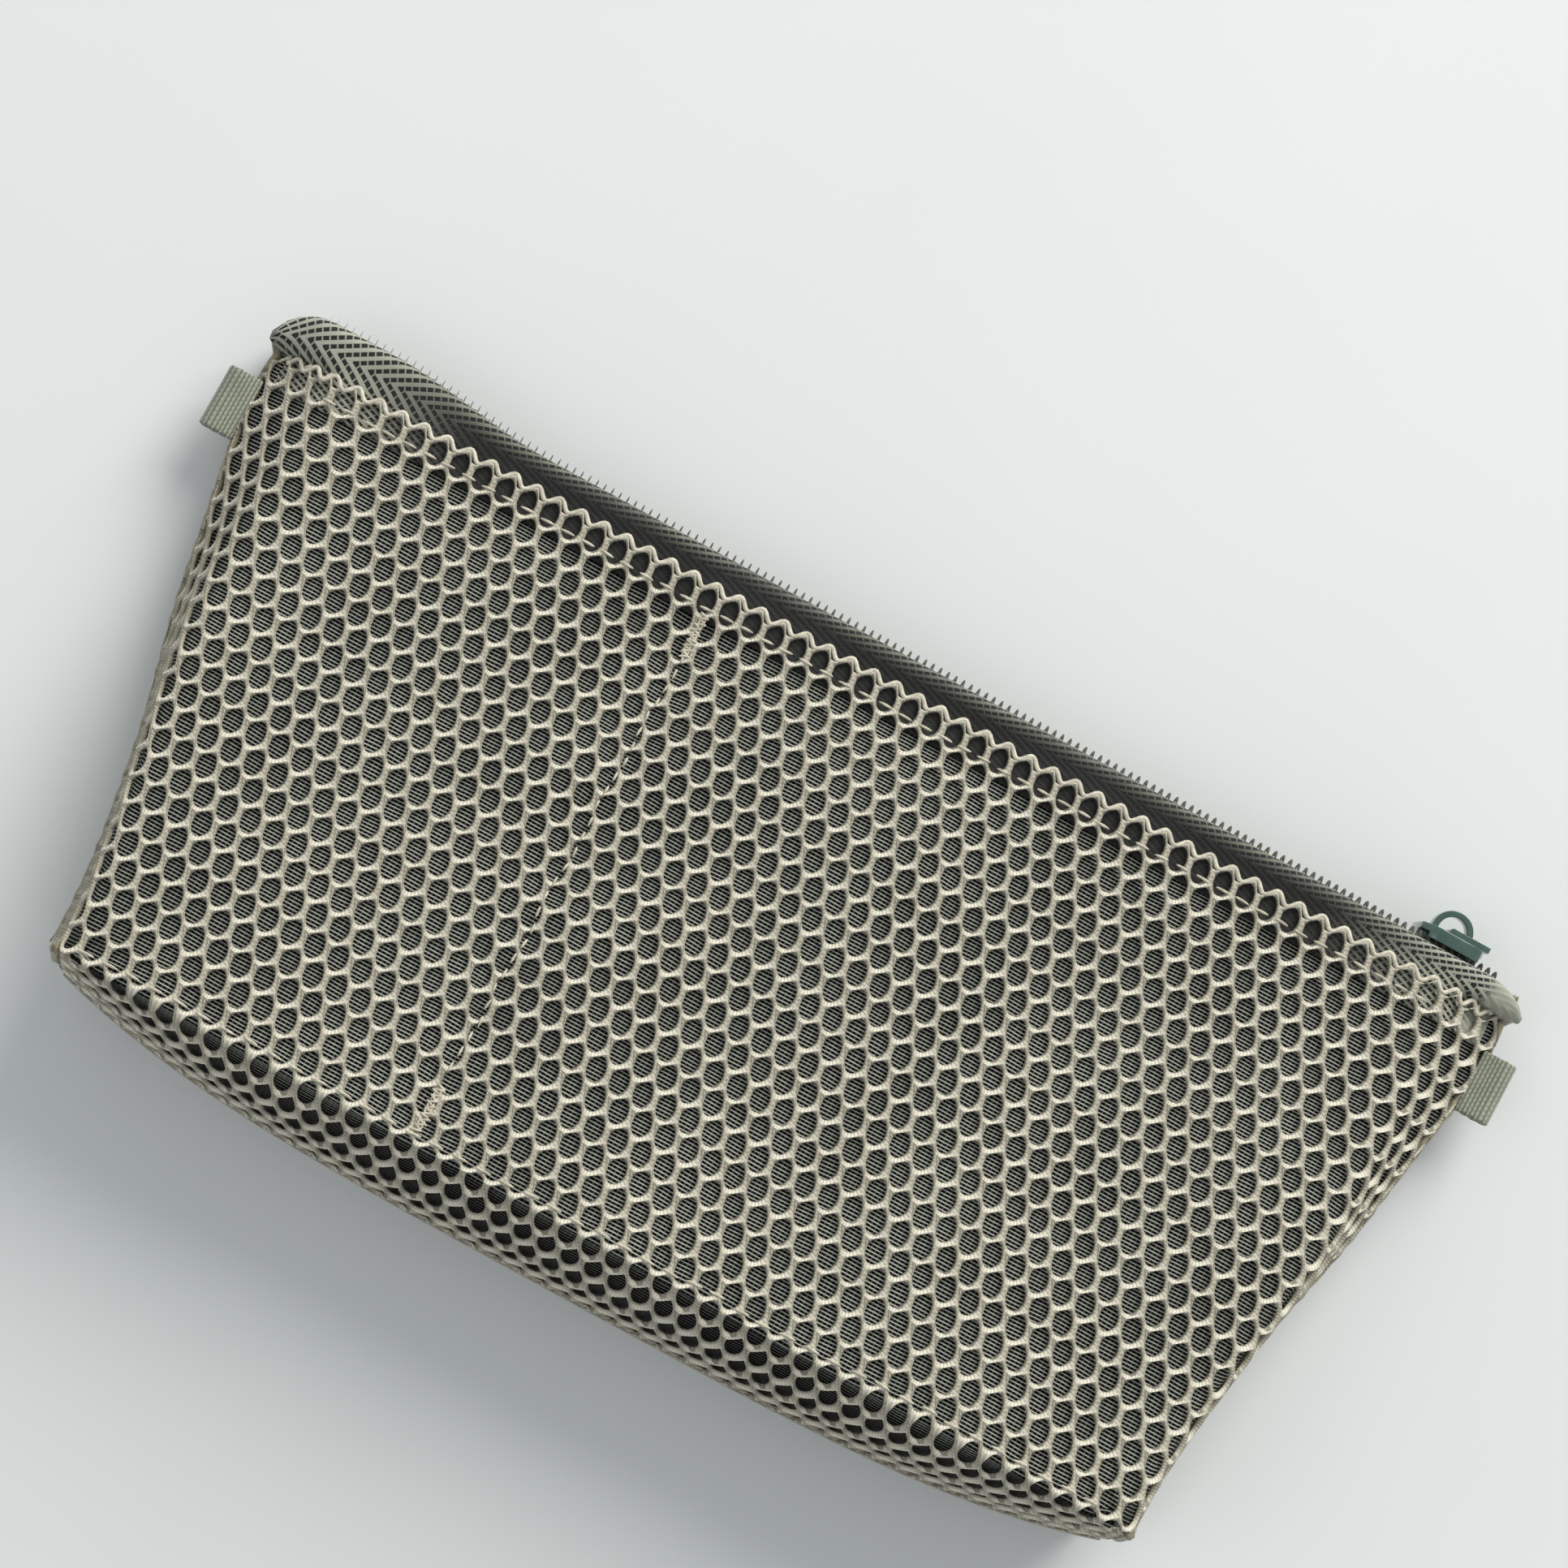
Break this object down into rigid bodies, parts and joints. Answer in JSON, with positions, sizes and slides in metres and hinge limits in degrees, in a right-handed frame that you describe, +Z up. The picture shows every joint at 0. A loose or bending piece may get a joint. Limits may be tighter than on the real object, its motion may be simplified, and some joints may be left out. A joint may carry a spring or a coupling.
{
  "type": "wallet pouch",
  "caption": "Boxed-bottom net pouch with a sheer lining, a zip along its top, a slider with puller, side tabs and a stitched inner pocket.",
  "frame": {"origin": "middle of the footprint at floor height, with the pouch lying on its back panel", "axes": "+X along the zip towards the parked slider, +Y from the boxed bottom to the zip, +Z up out of the front panel"},
  "size_m": [0.217, 0.1122, 0.0334],
  "materials": {
    "net": "matte knitted net, khaki",
    "lining": "sheer matte weave, dark",
    "tape": "matte herringbone tape, grey green",
    "coil": "satin filament",
    "webbing": "matte ribbed webbing, grey green",
    "enamel": "glossy grey green enamel",
    "thread": "matte sewing thread, light"
  },
  "bodies": {
    "pouch": {"front_net_panel": "net", "back_net_panel": "net", "front_lining": "lining", "back_lining": "lining", "inner_pocket_panel": "lining", "zip_tape_front": "tape", "zip_tape_back": "tape", "zip_coil_front": "coil", "zip_coil_back": "coil", "zip_end_stop_left": "thread", "zip_end_stop_right": "thread", "tab_right": "webbing", "tab_left": "webbing", "side_binding_left": "tape", "side_binding_right": "tape", "bottom_binding": "tape", "zip_seam_stitch": "thread", "crease_stitch": "thread", "divider_stitch": "thread", "divider_tack_top": "thread", "divider_tack_foot": "thread"},
    "slider": {"slider_body": "enamel"},
    "puller": {"slider_puller": "enamel"}
  },
  "joints": [
    {"name": "slider_run", "type": "slide", "parent": "pouch", "child": "slider", "axis": [1, 0, 0], "range_m": [-0.18, 0]},
    {"name": "puller_swing", "type": "hinge", "parent": "slider", "child": "puller", "pos_m": [0.0905, 0.05288, 0.0072], "axis": [0, 0, 1], "range_deg": [0, 180]}
  ]
}
